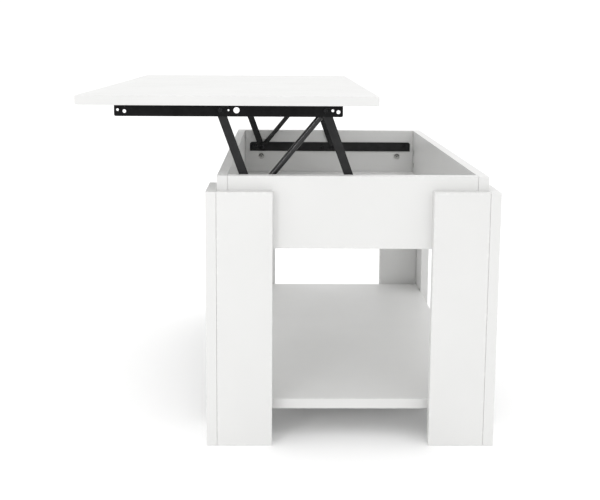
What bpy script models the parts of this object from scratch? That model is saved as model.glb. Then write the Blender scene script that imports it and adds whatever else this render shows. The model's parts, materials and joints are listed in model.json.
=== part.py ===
"""Lift top coffee table, modelled with its top raised.

White board carcass: four L-shaped legs, an open-topped storage box and a lower shelf.
At each end wall a steel parallelogram linkage carries the top up and over to the left.
Metres, +Z up, floor at z = 0. X runs across the table and Y along it.
"""

from math import acos, atan2, cos, hypot, pi, radians, sin

import bmesh
import bpy
from mathutils import Matrix, Vector

# Overall sizes
TABLE_WIDTH = 0.500  # over the legs' side boards
TABLE_LENGTH = 0.850  # over the legs' end boards
LEG_HEIGHT = 0.448
RIM_HEIGHT = 0.473  # top edge of the storage box

# Boards
BOARD = 0.018
TOP_BOARD = 0.016
FLOOR_BOARD = 0.016
EDGE_ROUND = 0.0006
GAP = 0.0003  # left between faces that touch

# Legs, box, shelf and top
LEG_FACE = 0.1135  # a leg's width across the table's end
LEG_SIDE = 0.105  # and along its side
BOX_HEIGHT = 0.126
FLOOR_RISE = 0.0045  # the box floor's underside above its panels' lower edges
SHELF_TOP = 0.072
SHELF_END_GAP = 0.016  # between the shelf and a leg's end board
TOP_OVERHANG_SIDE = 0.002
TOP_OVERHANG_END = 0.006
TOP_SIDE_SHIFT = 0.002  # the closed top sits this much to the right
CLOSED_GAP = 0.001  # between the closed top and the rim

# Linkage
STEEL = 0.002
RUN_GAP = 0.0004  # side clearance between plates that turn on each other
ARM_LENGTH = 0.162  # pivot to pivot
ARM_WIDTH = 0.0152
OPEN_LEAN = radians(20)  # how far past upright the raised arms lean to the left
BASE_PIVOT_DROP = 0.0428  # base pivots below the rim
TOP_PIVOT_DROP = 0.0108  # top pivots below the top's underside
BASE_RAIL_HEIGHT = 0.023
BASE_RAIL_CORNER = 0.006
BASE_RAIL_RISE = 0.013  # rail's upper edge above its pivots
RAIL_CLEAR_LEFT = 0.0123  # between the base rail's ends and the box's side walls
RAIL_CLEAR_RIGHT = 0.0083
FRONT_PIVOT_INSET = 0.030  # front pivot from the base rail's left end
REAR_REACH_INSET = 0.038  # closed rear top pivot from the base rail's right end
TOP_RAIL_STEP = 0.009  # the top rail is this much shorter at each end
TOP_RAIL_HEIGHT = 0.0213
TOP_RAIL_FLANGE = 0.014
RAIL_CORNER = 0.003
PIN_RADIUS = 0.0035
PIN_HEAD_RADIUS = 0.0055
PIN_HEAD = 0.0015
STOP_RADIUS = 0.003
STOP_RISE = 0.004  # stop pin above the front pivot

# Springs
SLEEVE_RADIUS = 0.0055
SLEEVE_WALL = 0.0005
SLEEVE_START = 0.014  # from the base pivot
LUG = 0.003
LUG_RADIUS = 0.0062
COIL_RADIUS = 0.00205
COIL_WIRE = 0.00075
COIL_PITCH = 0.0075
COIL_STEPS = 8  # points in a turn
COIL_START = 0.015  # first turn, from the top pivot
COIL_CLEAR = 0.026  # last turn, from the base pivot when the top is up
HOOK_SWEEP = radians(235)
HOOK_STEPS = 12
LEAD_STEPS = 5  # from the hook to the first turn

# Fasteners
SCREW_RADIUS = 0.0016
SCREW_DEPTH = 0.011
SCREW_HEAD_RADIUS = 0.0035
SCREW_HEAD = 0.0018
RAIL_SCREW_INSETS = (0.007, 0.0165)  # from the base rail's left and right ends
RAIL_SCREW_RISE = 0.005
MIDDLE_SCREW_BEFORE = 0.026  # left of the rear base pivot
TOP_SCREW_INSET = 0.0115
CAM_RADIUS = 0.0075
CAM_DEPTH = 0.010
END_CAM = (0.041, 0.066)  # from the side wall, below the rim
SIDE_CAM = (0.016, (0.056, 0.087))  # from the end wall, below the rim

# Worked out from the sizes above, with x from the table's middle
BOX_X = TABLE_WIDTH / 2 - BOARD - GAP
BOX_Y = TABLE_LENGTH / 2 - BOARD - GAP
INNER_X = BOX_X - BOARD
INNER_Y = BOX_Y - BOARD
BOX_BOTTOM = RIM_HEIGHT - BOX_HEIGHT
TOP_WIDTH = TABLE_WIDTH + 2 * TOP_OVERHANG_SIDE
TOP_LENGTH = TABLE_LENGTH + 2 * TOP_OVERHANG_END

RAIL_LEFT = -INNER_X + RAIL_CLEAR_LEFT
RAIL_RIGHT = INNER_X - RAIL_CLEAR_RIGHT
BASE_Z = RIM_HEIGHT - BASE_PIVOT_DROP
CLOSED_RISE = RIM_HEIGHT + CLOSED_GAP - TOP_PIVOT_DROP - BASE_Z
CLOSED_LEAN = acos(CLOSED_RISE / ARM_LENGTH)
CLOSED_REACH = ARM_LENGTH * sin(CLOSED_LEAN)
OPEN_REACH = ARM_LENGTH * sin(OPEN_LEAN)
TRAVEL = OPEN_REACH + CLOSED_REACH
BASE_FRONT_X = RAIL_LEFT + FRONT_PIVOT_INSET
BASE_REAR_X = RAIL_RIGHT - REAR_REACH_INSET - CLOSED_REACH
TOP_FRONT_X = BASE_FRONT_X - OPEN_REACH
TOP_REAR_X = BASE_REAR_X - OPEN_REACH
TOP_Z = BASE_Z + ARM_LENGTH * cos(OPEN_LEAN)
UNDERSIDE = TOP_Z + TOP_PIVOT_DROP
TOP_CENTRE_X = TOP_SIDE_SHIFT - TRAVEL
TOP_RAIL_LEFT = RAIL_LEFT + TOP_RAIL_STEP - TRAVEL
TOP_RAIL_RIGHT = RAIL_RIGHT - TOP_RAIL_STEP - TRAVEL

STRUT_LENGTH = hypot(TOP_REAR_X - BASE_FRONT_X, TOP_Z - BASE_Z)
STRUT_LEAN = atan2(TOP_REAR_X - BASE_FRONT_X, TOP_Z - BASE_Z)

# The object's own frame has its origin under the middle of its outline, raised top included.
TABLE_X = -(TOP_CENTRE_X - TOP_WIDTH / 2 + TABLE_WIDTH / 2) / 2

# Depths into the box from an end wall, where the linkage's layers lie
ARM_DEPTH = GAP + STEEL + RUN_GAP
HOOK_DEPTH = ARM_DEPTH + STEEL + RUN_GAP
STRUT_DEPTH = HOOK_DEPTH + SLEEVE_RADIUS + RUN_GAP

ENDS = (("near", -1), ("far", 1))
SIDES = (("left", -1), ("right", 1))


def collection(name, shown=True):
    made = bpy.data.collections.new(name)
    made.hide_render = not shown
    bpy.context.scene.collection.children.link(made)
    return made


def material(name, colour, roughness, metallic=0.0):
    made = bpy.data.materials.new(name)
    made.use_nodes = True
    shader = made.node_tree.nodes["Principled BSDF"]
    shader.inputs["Base Color"].default_value = (*colour, 1.0)
    shader.inputs["Roughness"].default_value = roughness
    shader.inputs["Metallic"].default_value = metallic
    return made


def spot(x, y, z):
    """A point given from the table's middle, in the object's frame."""
    return Vector((x + TABLE_X, y, z))


def add(name, data, finish=None, at=None, turn=(0, 0, 0), parent=None, where=None):
    """Links an object at a point of the object's frame, under a parent that isn't turned."""
    obj = bpy.data.objects.new(name, data)
    (where or parts).objects.link(obj)
    obj.location = (at or Vector()) - (parent["at"] if parent else Vector())
    obj.rotation_euler = turn
    if parent:
        obj.parent = parent["empty"]
    if finish:
        data.materials.append(finish)
    return obj


def axis_empty(name, at, parent=None):
    """An empty on a joint's axis, which carries the pieces that turn about it."""
    return {"empty": add(name, None, at=at, parent=parent), "at": at}


def mesh_from(bm, name):
    mesh = bpy.data.meshes.new(name)
    bmesh.ops.recalc_face_normals(bm, faces=bm.faces)
    bm.to_mesh(mesh)
    bm.free()
    return mesh


def box_mesh(name, size):
    bm = bmesh.new()
    bmesh.ops.create_cube(bm, size=1.0)
    bmesh.ops.scale(bm, vec=size, verts=bm.verts)
    return mesh_from(bm, name)


def helper(name, data, at=None, turn=(0, 0, 0)):
    """A solid that cuts or joins another and isn't a piece itself."""
    obj = add(name, data, at=at, turn=turn, where=cutters)
    obj.display_type = "WIRE"
    obj.hide_render = True
    return obj


def board(name, low, high, finish, parent=None):
    """A rectangular board between two corners given from the table's middle."""
    low, high = spot(*low), spot(*high)
    obj = add(name, box_mesh(name, high - low), finish, (low + high) / 2, parent=parent)
    bevel = obj.modifiers.new("edges", "BEVEL")
    bevel.width = EDGE_ROUND
    bevel.segments = 1
    bevel.limit_method = "ANGLE"
    return obj


def drill(target, holes):
    """Cuts round holes, each (centre, direction, radius, length), centred lengthways on the centre."""
    bm = bmesh.new()
    for centre, direction, radius, length in holes:
        turn = Vector(direction).to_track_quat("Z", "Y").to_matrix().to_4x4()
        bmesh.ops.create_cone(
            bm,
            cap_ends=True,
            segments=16,
            radius1=radius,
            radius2=radius,
            depth=length,
            matrix=Matrix.Translation(centre) @ turn,
        )
    name = target.name + "_holes"
    cut(target, helper(name, mesh_from(bm, name)))


def cut(target, cutter, operation="DIFFERENCE"):
    boolean = target.modifiers.new(cutter.name, "BOOLEAN")
    boolean.operation = operation
    boolean.object = cutter


def arc(centre, radius, start, sweep, count):
    """Points along a circular arc in a plane."""
    angles = [start + sweep * i / count for i in range(count + 1)]
    return [(centre[0] + radius * cos(a), centre[1] + radius * sin(a)) for a in angles]


def circle(centre, radius, count=16):
    return arc(centre, radius, 0, 2 * pi, count)[:-1]


def slot_outline(first, second, radius, count=8):
    """The outline of a bar with round ends about two points, the second above the first."""
    return arc(second, radius, 0, pi, count) + arc(first, radius, pi, pi, count)


def plate(name, outlines, thickness, finish, at, lean=0.0, parent=None):
    """A flat plate standing across the table. The first outline is its edge and the others are holes."""
    curve = bpy.data.curves.new(name, "CURVE")
    curve.dimensions = "2D"
    curve.fill_mode = "BOTH"
    curve.extrude = thickness / 2
    for outline in outlines:
        spline = curve.splines.new("POLY")
        spline.points.add(len(outline) - 1)
        for point, (u, v) in zip(spline.points, outline):
            point.co = (u, v, 0, 1)
        spline.use_cyclic_u = True
    guide = bpy.data.objects.new(name + "_outline", curve)
    parts.objects.link(guide)
    graph = bpy.context.evaluated_depsgraph_get()
    mesh = bpy.data.meshes.new_from_object(guide.evaluated_get(graph))
    bpy.data.objects.remove(guide)
    bm = bmesh.new()
    bm.from_mesh(mesh)
    bmesh.ops.remove_doubles(bm, verts=bm.verts, dist=1e-6)
    bpy.data.meshes.remove(mesh)
    return add(name, mesh_from(bm, name), finish, at, (pi / 2, lean, 0), parent)


def turned(name, profile, finish, at, turn=(0, 0, 0), parent=None, steps=16):
    """A turned piece from its profile (radius, height), listed from the top down its outer side."""
    obj = add(name, profile_mesh(name, profile), finish, at, turn, parent)
    turn_profile(obj, steps)
    return obj


def profile_mesh(name, profile):
    mesh = bpy.data.meshes.new(name)
    count = len(profile)
    mesh.from_pydata([(r, 0, z) for r, z in profile], [(i, i + 1) for i in range(count - 1)], [])
    return mesh


def turn_profile(obj, steps=16):
    screw = obj.modifiers.new("turn", "SCREW")
    screw.axis = "Z"
    screw.steps = screw.render_steps = steps
    screw.use_merge_vertices = True
    screw.merge_threshold = 1e-5
    screw.use_smooth_shade = True


def into_box(end):
    """Turns a piece made along +Z so that it points from an end wall into the box."""
    return (end * pi / 2, 0, 0)


def at_depth(x, z, end, depth):
    """A point beside an end wall, at a depth into the box."""
    return spot(x, end * (INNER_Y - depth), z)


def legs():
    """Each leg is a side board with an end board butted inside it."""
    for end_name, end in ENDS:
        for side_name, side in SIDES:
            outer_x, outer_y = side * TABLE_WIDTH / 2, end * TABLE_LENGTH / 2
            xs = sorted((outer_x, outer_x - side * BOARD))
            ys = sorted((outer_y, outer_y - end * LEG_SIDE))
            name = f"{end_name}_{side_name}"
            board(f"leg_side_board_{name}", (xs[0], ys[0], 0), (xs[1], ys[1], LEG_HEIGHT), white)
            xs = sorted((outer_x - side * (BOARD + GAP), outer_x - side * LEG_FACE))
            ys = sorted((outer_y, outer_y - end * BOARD))
            board(f"leg_end_board_{name}", (xs[0], ys[0], 0), (xs[1], ys[1], LEG_HEIGHT), white)


def storage_box():
    """The side panels run full length, with the end panels and the floor between them."""
    for name, side in SIDES:
        xs = sorted((side * BOX_X, side * INNER_X))
        low, high = (xs[0], -BOX_Y, BOX_BOTTOM), (xs[1], BOX_Y, RIM_HEIGHT)
        panel = board(f"box_side_panel_{name}", low, high, white)
        inset, drops = SIDE_CAM
        cams = [
            (side * INNER_X, end * (INNER_Y - inset), RIM_HEIGHT - drop) for _, end in ENDS for drop in drops
        ]
        drill(panel, [(spot(*at), (1, 0, 0), CAM_RADIUS + GAP, 2 * (CAM_DEPTH + GAP)) for at in cams])
        for (x, y, z), label in zip(cams, ("near_upper", "near_lower", "far_upper", "far_lower")):
            cam_lock(f"cam_lock_{name}_{label}", spot(x, y, z), (0, -side * pi / 2, 0))
    across = INNER_X - GAP
    for name, end in ENDS:
        ys = sorted((end * BOX_Y, end * INNER_Y))
        low, high = (-across, ys[0], BOX_BOTTOM), (across, ys[1], RIM_HEIGHT)
        panel = board(f"box_end_panel_{name}", low, high, white)
        cams = [(side * (INNER_X - END_CAM[0]), end * INNER_Y, RIM_HEIGHT - END_CAM[1]) for _, side in SIDES]
        holes = [(spot(*at), (0, 1, 0), CAM_RADIUS + GAP, 2 * (CAM_DEPTH + GAP)) for at in cams]
        reach = 2 * (SCREW_DEPTH + GAP)
        screws = [at_depth(x, z, end, 0) for x, z in rail_screw_places()]
        holes += [(at, (0, 1, 0), SCREW_RADIUS + GAP, reach) for at in screws]
        drill(panel, holes)
        for (x, y, z), (label, _) in zip(cams, SIDES):
            cam_lock(f"cam_lock_{name}_{label}", spot(x, y, z), into_box(end))
    floor_y = INNER_Y - GAP
    low_z = BOX_BOTTOM + FLOOR_RISE
    board("box_floor", (-across, -floor_y, low_z), (across, floor_y, low_z + FLOOR_BOARD), white)


def cam_lock(name, at, turn):
    """A cam sunk in a wall, its face level with the wall and its drive recess cut in."""
    rim, recess, sunk = CAM_RADIUS * 0.93, CAM_RADIUS * 0.45, CAM_DEPTH * 0.2
    profile = [(0, -sunk), (recess * 0.5, -sunk), (recess, 0), (rim, 0), (CAM_RADIUS, rim - CAM_RADIUS)]
    turned(name, profile + [(CAM_RADIUS, -CAM_DEPTH), (0, -CAM_DEPTH)], zinc, at, turn, steps=12)


def shelf():
    length = BOX_Y - SHELF_END_GAP
    board("shelf", (-BOX_X, -length, SHELF_TOP - BOARD), (BOX_X, length, SHELF_TOP), white)


def rail_screw_places():
    left, right = RAIL_SCREW_INSETS
    high = BASE_Z + RAIL_SCREW_RISE
    middle = BASE_REAR_X - MIDDLE_SCREW_BEFORE
    return [(RAIL_LEFT + left, high), (middle, BASE_Z), (RAIL_RIGHT - right, high)]


def wood_screw(name, at, turn, parent=None, plate_thickness=STEEL):
    """A pan head screw through a plate. Its origin is on the board's face and its head points along +Z."""
    under = plate_thickness + 2 * GAP
    crown = under + SCREW_HEAD
    profile = [(0, crown), (SCREW_HEAD_RADIUS * 0.6, crown), (SCREW_HEAD_RADIUS, under + SCREW_HEAD / 3)]
    profile += [(SCREW_HEAD_RADIUS, under), (SCREW_RADIUS, under), (SCREW_RADIUS, SCREW_RADIUS - SCREW_DEPTH)]
    turned(name, profile + [(0, -SCREW_DEPTH)], black, at, turn, parent, steps=10)


def rivet(name, x, z, end, head_depth, parent=None):
    """A pivot rivet, flush with the rail's wall side and headed on the box's side."""
    crown = head_depth + PIN_HEAD
    profile = [(0, crown), (PIN_HEAD_RADIUS * 0.6, crown), (PIN_HEAD_RADIUS, crown - PIN_HEAD / 2)]
    profile += [(PIN_HEAD_RADIUS, head_depth), (PIN_RADIUS, head_depth), (PIN_RADIUS, GAP), (0, GAP)]
    turned(name, profile, steel, at_depth(x, z, end, 0), into_box(end), parent, steps=14)


def base_rail(name, end):
    """A flat bar on the end wall that holds the two base pivots and the stop pin."""
    left, right = RAIL_LEFT - BASE_FRONT_X, RAIL_RIGHT - BASE_FRONT_X
    top, bottom, corner = BASE_RAIL_RISE, BASE_RAIL_RISE - BASE_RAIL_HEIGHT, BASE_RAIL_CORNER
    edge = [(left, bottom), (right, bottom)]
    edge += arc((right - corner, top - corner), corner, 0, pi / 2, 4)
    edge += arc((left + corner, top - corner), corner, pi / 2, pi / 2, 4)
    rear = BASE_REAR_X - BASE_FRONT_X
    stop = stop_place()
    holes = [circle((0, 0), PIN_RADIUS + GAP), circle((rear, 0), PIN_RADIUS + GAP)]
    holes.append(circle(stop, STOP_RADIUS + GAP))
    for x, z in rail_screw_places():
        holes.append(circle((x - BASE_FRONT_X, z - BASE_Z), SCREW_RADIUS + GAP, 12))
    at = at_depth(BASE_FRONT_X, BASE_Z, end, GAP + STEEL / 2)
    plate(f"base_rail_{name}", [edge] + holes, STEEL, black, at)
    for (x, z), label in zip(rail_screw_places(), ("left", "middle", "right")):
        wood_screw(f"rail_screw_{name}_{label}", at_depth(x, z, end, 0), into_box(end))
    stop_top = ARM_DEPTH + STEEL
    profile = [(0, stop_top), (STOP_RADIUS, stop_top), (STOP_RADIUS, GAP), (0, GAP)]
    place = at_depth(BASE_FRONT_X + stop[0], BASE_Z + stop[1], end, 0)
    turned(f"stop_pin_{name}", profile, steel, place, into_box(end))
    rivet(f"pivot_base_front_{name}", BASE_FRONT_X, BASE_Z, end, HOOK_DEPTH + LUG + RUN_GAP)
    rivet(f"pivot_base_rear_{name}", BASE_REAR_X, BASE_Z, end, HOOK_DEPTH)


def stop_place():
    """The stop pin's place from the front base pivot: beside the raised arm's left edge."""
    away = ARM_WIDTH / 2 + STOP_RADIUS + GAP
    return (-(away + STOP_RISE * sin(OPEN_LEAN)) / cos(OPEN_LEAN), STOP_RISE)


def top_rail(name, end, top):
    """An angle bar under the top: an upright web with the top pivots, and a flange screwed to the board."""
    left, right = TOP_RAIL_LEFT - TOP_FRONT_X, TOP_RAIL_RIGHT - TOP_FRONT_X
    rear = TOP_REAR_X - TOP_FRONT_X
    high, low = TOP_PIVOT_DROP - GAP, TOP_PIVOT_DROP - GAP - TOP_RAIL_HEIGHT
    edge = [(right, high), (left, high)]
    edge += arc((left + RAIL_CORNER, low + RAIL_CORNER), RAIL_CORNER, pi, pi / 2, 4)
    edge += arc((right - RAIL_CORNER, low + RAIL_CORNER), RAIL_CORNER, -pi / 2, pi / 2, 4)
    spare = [(left + 0.006, 0.0, 0.0023), (left + 0.0175, -0.0024, 0.0031), (0.0144, 0.0, 0.0016)]
    spare += [(0.028, 0.0, 0.0052), (right - 0.0174, 0.0, 0.0024), (right - 0.0078, -0.0024, 0.0033)]
    holes = [circle((0, 0), PIN_RADIUS + GAP), circle((rear, 0), PIN_RADIUS + GAP)]
    holes += [circle((u, v), radius) for u, v, radius in spare]
    at = at_depth(TOP_FRONT_X, TOP_Z, end, GAP + STEEL / 2)
    rail = plate(f"top_rail_{name}", [edge] + holes, STEEL, black, at, parent=top)
    ys = sorted((end * (INNER_Y - GAP - STEEL / 2), end * (INNER_Y - TOP_RAIL_FLANGE)))
    low_corner = spot(TOP_RAIL_LEFT, ys[0], UNDERSIDE - GAP - STEEL)
    high_corner = spot(TOP_RAIL_RIGHT, ys[1], UNDERSIDE - GAP)
    flange = box_mesh("flange", high_corner - low_corner)
    middle = (low_corner + high_corner) / 2
    cut(rail, helper(f"top_rail_flange_{name}", flange, middle), "UNION")
    places = top_screw_places(end)
    drill(rail, [(at, (0, 0, 1), SCREW_RADIUS + GAP, 4 * STEEL) for at in places])
    for at, label in zip(places, ("left", "right")):
        wood_screw(f"top_screw_{name}_{label}", at, (pi, 0, 0), top)
    rivet(f"pivot_top_front_{name}", TOP_FRONT_X, TOP_Z, end, HOOK_DEPTH, top)
    rivet(f"pivot_top_rear_{name}", TOP_REAR_X, TOP_Z, end, HOOK_DEPTH + LUG + RUN_GAP, top)


def top_screw_places(end):
    middle = (ARM_DEPTH + TOP_RAIL_FLANGE) / 2
    xs = (TOP_RAIL_LEFT + TOP_SCREW_INSET, TOP_RAIL_RIGHT - TOP_SCREW_INSET)
    return [at_depth(x, UNDERSIDE, end, middle) for x in xs]


def arm(name, base_x, end, parent):
    """A flat bar with round ends between a base pivot and a top pivot."""
    edge = slot_outline((0, 0), (0, ARM_LENGTH), ARM_WIDTH / 2)
    holes = [circle((0, 0), PIN_RADIUS + GAP), circle((0, ARM_LENGTH), PIN_RADIUS + GAP)]
    at = at_depth(base_x, BASE_Z, end, ARM_DEPTH + STEEL / 2)
    plate(name, [edge] + holes, STEEL, black, at, -OPEN_LEAN, parent)


def spring_sleeve(name, end, parent):
    """A tube round the spring, with a flat lug that turns on the front base pivot."""
    lug_end = SLEEVE_START + LUG
    outlines = [slot_outline((0, 0), (0, lug_end), LUG_RADIUS), circle((0, 0), PIN_RADIUS + GAP)]
    at = at_depth(BASE_FRONT_X, BASE_Z, end, HOOK_DEPTH + LUG / 2)
    lug = plate(f"spring_sleeve_{name}", outlines, LUG, black, at, STRUT_LEAN, parent)
    inner = SLEEVE_RADIUS - SLEEVE_WALL
    length = STRUT_LENGTH - COIL_START + GAP
    profile = [(inner, length), (SLEEVE_RADIUS, length), (SLEEVE_RADIUS, SLEEVE_START)]
    profile += [(inner, SLEEVE_START), (inner, length)]
    where = at_depth(BASE_FRONT_X, BASE_Z, end, STRUT_DEPTH)
    tube = helper(f"sleeve_tube_{name}", profile_mesh("tube", profile), where, (0, STRUT_LEAN, 0))
    turn_profile(tube)
    cut(lug, tube, "UNION")


def tension_spring(name, end, parent):
    """A coil with a hook round the rear top pivot. u runs to the base pivot, v across, w into the box."""
    hook = PIN_RADIUS + GAP + COIL_WIRE
    hook_w = HOOK_DEPTH + LUG / 2
    points = []
    for i in range(HOOK_STEPS + 1):
        angle = pi / 2 + HOOK_SWEEP * (1 - i / HOOK_STEPS)
        points.append((hook * cos(angle), hook * sin(angle), hook_w))
    v_step, w_step = COIL_RADIUS - hook, STRUT_DEPTH - hook_w
    for i in range(1, LEAD_STEPS):
        share = i / LEAD_STEPS
        ease = share * share * (3 - 2 * share)
        points.append((COIL_START * share, hook + v_step * ease, hook_w + w_step * ease))
    turns = int((STRUT_LENGTH - COIL_CLEAR - COIL_START) / COIL_PITCH)
    for i in range(turns * COIL_STEPS + 1):
        angle = 2 * pi * i / COIL_STEPS
        along = COIL_START + COIL_PITCH * i / COIL_STEPS
        points.append((along, COIL_RADIUS * cos(angle), STRUT_DEPTH + COIL_RADIUS * sin(angle)))
    along = Vector((-sin(STRUT_LEAN), 0, -cos(STRUT_LEAN)))
    across = Vector((cos(STRUT_LEAN), 0, -sin(STRUT_LEAN)))
    inward = Vector((0, -end, 0))
    curve = bpy.data.curves.new(name, "CURVE")
    curve.dimensions = "3D"
    curve.bevel_depth = COIL_WIRE
    curve.bevel_resolution = 1
    curve.use_fill_caps = True
    spline = curve.splines.new("POLY")
    spline.points.add(len(points) - 1)
    for point, (u, v, w) in zip(spline.points, points):
        point.co = (*(along * u + across * v + inward * w), 1)
    add(f"tension_spring_{name}", curve, steel, at_depth(TOP_REAR_X, TOP_Z, end, 0), parent=parent)


def top_panel(parent):
    half_x, half_y = TOP_WIDTH / 2, TOP_LENGTH / 2
    low = (TOP_CENTRE_X - half_x, -half_y, UNDERSIDE)
    high = (TOP_CENTRE_X + half_x, half_y, UNDERSIDE + TOP_BOARD)
    panel = board("top_panel", low, high, white, parent)
    reach = 2 * (SCREW_DEPTH + GAP)
    places = [at for _, end in ENDS for at in top_screw_places(end)]
    drill(panel, [(at, (0, 0, 1), SCREW_RADIUS + GAP, reach) for at in places])


def mechanism():
    """The linkage turns about four axes along the table. The front arms carry the top."""
    lift = axis_empty("front_arm_axis", spot(BASE_FRONT_X, 0, BASE_Z))
    rear = axis_empty("rear_arm_axis", spot(BASE_REAR_X, 0, BASE_Z))
    top = axis_empty("top_axis", spot(TOP_FRONT_X, 0, TOP_Z), lift)
    sleeve = axis_empty("sleeve_axis", spot(BASE_FRONT_X, 0, BASE_Z))
    hook = axis_empty("spring_axis", spot(TOP_REAR_X, 0, TOP_Z), rear)
    top_panel(top)
    for name, end in ENDS:
        base_rail(name, end)
        top_rail(name, end, top)
        arm(f"front_arm_{name}", BASE_FRONT_X, end, lift)
        arm(f"rear_arm_{name}", BASE_REAR_X, end, rear)
        spring_sleeve(name, end, sleeve)
        tension_spring(name, end, hook)


for old in list(bpy.data.objects):
    bpy.data.objects.remove(old)
parts = collection("lift_top_coffee_table")
cutters = collection("cutters", shown=False)
white = material("white_melamine", (0.86, 0.86, 0.85), 0.35)
black = material("black_powder_coat", (0.012, 0.012, 0.013), 0.45)
steel = material("blackened_steel", (0.03, 0.03, 0.032), 0.35, 0.9)
zinc = material("cam_zinc", (0.45, 0.45, 0.46), 0.4, 0.9)
legs()
storage_box()
shelf()
mechanism()
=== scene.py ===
"""Finished surfaces, finishes, stage and camera of a lift top coffee table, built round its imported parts."""

import json
from math import atan2, cos, pi, radians, sin

import bpy
import numpy as np
from bpy.props import FloatProperty, FloatVectorProperty, PointerProperty
from mathutils import Euler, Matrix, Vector
from mathutils.geometry import tessellate_polygon

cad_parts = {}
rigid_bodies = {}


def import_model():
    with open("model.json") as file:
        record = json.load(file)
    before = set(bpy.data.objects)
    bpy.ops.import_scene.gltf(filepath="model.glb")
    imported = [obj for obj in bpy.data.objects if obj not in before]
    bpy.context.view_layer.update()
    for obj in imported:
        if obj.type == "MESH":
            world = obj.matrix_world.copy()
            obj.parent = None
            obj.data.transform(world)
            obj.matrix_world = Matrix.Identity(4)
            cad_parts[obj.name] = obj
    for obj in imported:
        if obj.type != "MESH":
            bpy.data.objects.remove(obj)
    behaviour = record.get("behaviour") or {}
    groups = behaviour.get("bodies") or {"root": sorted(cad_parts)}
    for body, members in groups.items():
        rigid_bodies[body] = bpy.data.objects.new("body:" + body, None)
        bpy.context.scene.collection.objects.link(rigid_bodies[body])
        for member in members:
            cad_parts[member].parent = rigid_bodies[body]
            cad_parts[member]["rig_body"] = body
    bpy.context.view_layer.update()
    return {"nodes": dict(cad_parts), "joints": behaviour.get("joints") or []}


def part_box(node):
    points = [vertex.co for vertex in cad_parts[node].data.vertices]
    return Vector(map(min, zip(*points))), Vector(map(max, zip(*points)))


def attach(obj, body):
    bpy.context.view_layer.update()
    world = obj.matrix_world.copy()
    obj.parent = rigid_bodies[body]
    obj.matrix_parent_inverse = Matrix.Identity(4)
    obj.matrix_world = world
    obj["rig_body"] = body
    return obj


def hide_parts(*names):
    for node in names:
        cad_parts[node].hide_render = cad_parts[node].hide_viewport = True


bl_info = {
    "name": "Lift Top Coffee Table",
    "version": (1, 0, 0),
    "blender": (4, 5, 0),
    "location": "3D View > Sidebar > Lift Table",
    "description": "Builds the finished boards, steelwork and stage of a lift top coffee table",
    "category": "Object",
}

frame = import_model()
JOINTS = {joint["name"]: joint for joint in frame["joints"]}

ENDS = (("near", -1), ("far", 1))
SIDES = (("left", -1), ("right", 1))
SPOTS = ("left", "middle", "right")  # of a base rail's screws
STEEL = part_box("front_arm_near")[1].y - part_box("front_arm_near")[0].y
GAP = 0.0003  # between pieces that touch
TIGHT = 0.00005  # smallest corner radius an inset outline shrinks to

# Radii of the holes for pivots, screws and stop pins, and the depth of a screw's hole in a board
PIVOT_HOLE, SCREW_HOLE, STOP_HOLE = 0.0038, 0.0019, 0.0033
SCREW_DEPTH = 0.0113
# On the boards the worn border also carries a painted highlight.
BOARD_FADE, STEEL_FADE = 0.006, 0.0012  # width of a face's worn border
BASE_RAIL_CORNER, FLANGE_CORNER = 0.006, 0.003

# Axes (u, v, w) of a flat piece whose faces look along x, y or z
FACING = {
    0: np.array([[0, 1, 0], [0, 0, 1], [1, 0, 0]], float),
    1: np.array([[0, 0, 1], [1, 0, 0], [0, 1, 0]], float),
    2: np.eye(3),
}


# ---------------------------------------------------------------- settings


def metres(name, description, value):
    return FloatProperty(name=name, description=description, default=value, unit="LENGTH")


def number(name, description, value, subtype="NONE"):
    return FloatProperty(name=name, description=description, default=value, subtype=subtype)


def tint(name, description, *colour):
    return FloatVectorProperty(name=name, description=description, default=colour, subtype="COLOR")


class TableSizes(bpy.types.PropertyGroup):
    """Sizes of the fine detail that a user would change."""

    board_ease: metres("Board edge", "Radius of a board's edges", 0.0006)
    band_width: metres("Edge band", "Thickness of the edge banding", 0.0012)
    band_line: metres("Band line", "Width of the line where band and facing meet", 0.00016)
    steel_ease: metres("Steel edge", "Radius of the coated steel's edges", 0.00035)
    bend_radius: metres("Rail bend", "Inside radius of the top rail's bend", 0.001)
    coil_pitch: metres("Coil pitch", "Distance between the springs' turns", 0.0024)


class TableFinishes(bpy.types.PropertyGroup):
    """Colours and gloss of the finishes."""

    board_colour: tint("Boards", "White melamine facing", 0.69, 0.69, 0.682)
    board_roughness: number("Board roughness", "Satin of the facing", 0.46, "FACTOR")
    # The rails and the arms share one black powder coat in two tones: the rails' darker copy is painted shade
    # under the top, the arms' lighter copy is painted light; the base rails and sleeve tongues take the arms'
    # tone.
    shaded_coat_colour: tint("Rails", "Black powder coat", 0.0045, 0.0045, 0.0048)
    lit_coat_colour: tint("Arms", "Black powder coat of the arms", 0.011, 0.011, 0.0115)
    sleeve_colour: tint("Sleeves", "Black plastic tube", 0.006, 0.006, 0.0065)
    steel_colour: tint("Rivets", "Blackened steel", 0.014, 0.014, 0.0145)
    zinc_colour: tint("Cams", "Zinc die-casting", 0.66, 0.66, 0.64)


class TableStage(bpy.types.PropertyGroup):
    """Camera, floor and light."""

    lens: number("Lens", "Focal length in mm", 56.08)
    turn: number("Turn", "Camera's turn to the right", radians(0.758), "ANGLE")
    pitch: number("Pitch", "Camera's tilt below the horizon", radians(7.772), "ANGLE")
    roll: number("Roll", "Camera's roll", radians(0.361), "ANGLE")
    camera_place: FloatVectorProperty(
        name="Camera", description="Place of the camera", default=(-0.0165, -1.9745, 0.7039), subtype="XYZ"
    )
    floor_colour: tint("Floor", "Pale floor", 0.97, 0.97, 0.97)
    sky: number("Sky", "Strength of the even light all round", 1.08)
    ceiling: number("Ceiling", "Strength of the light straight above", 1.42)


# ---------------------------------------------------------------- surfaces


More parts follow.
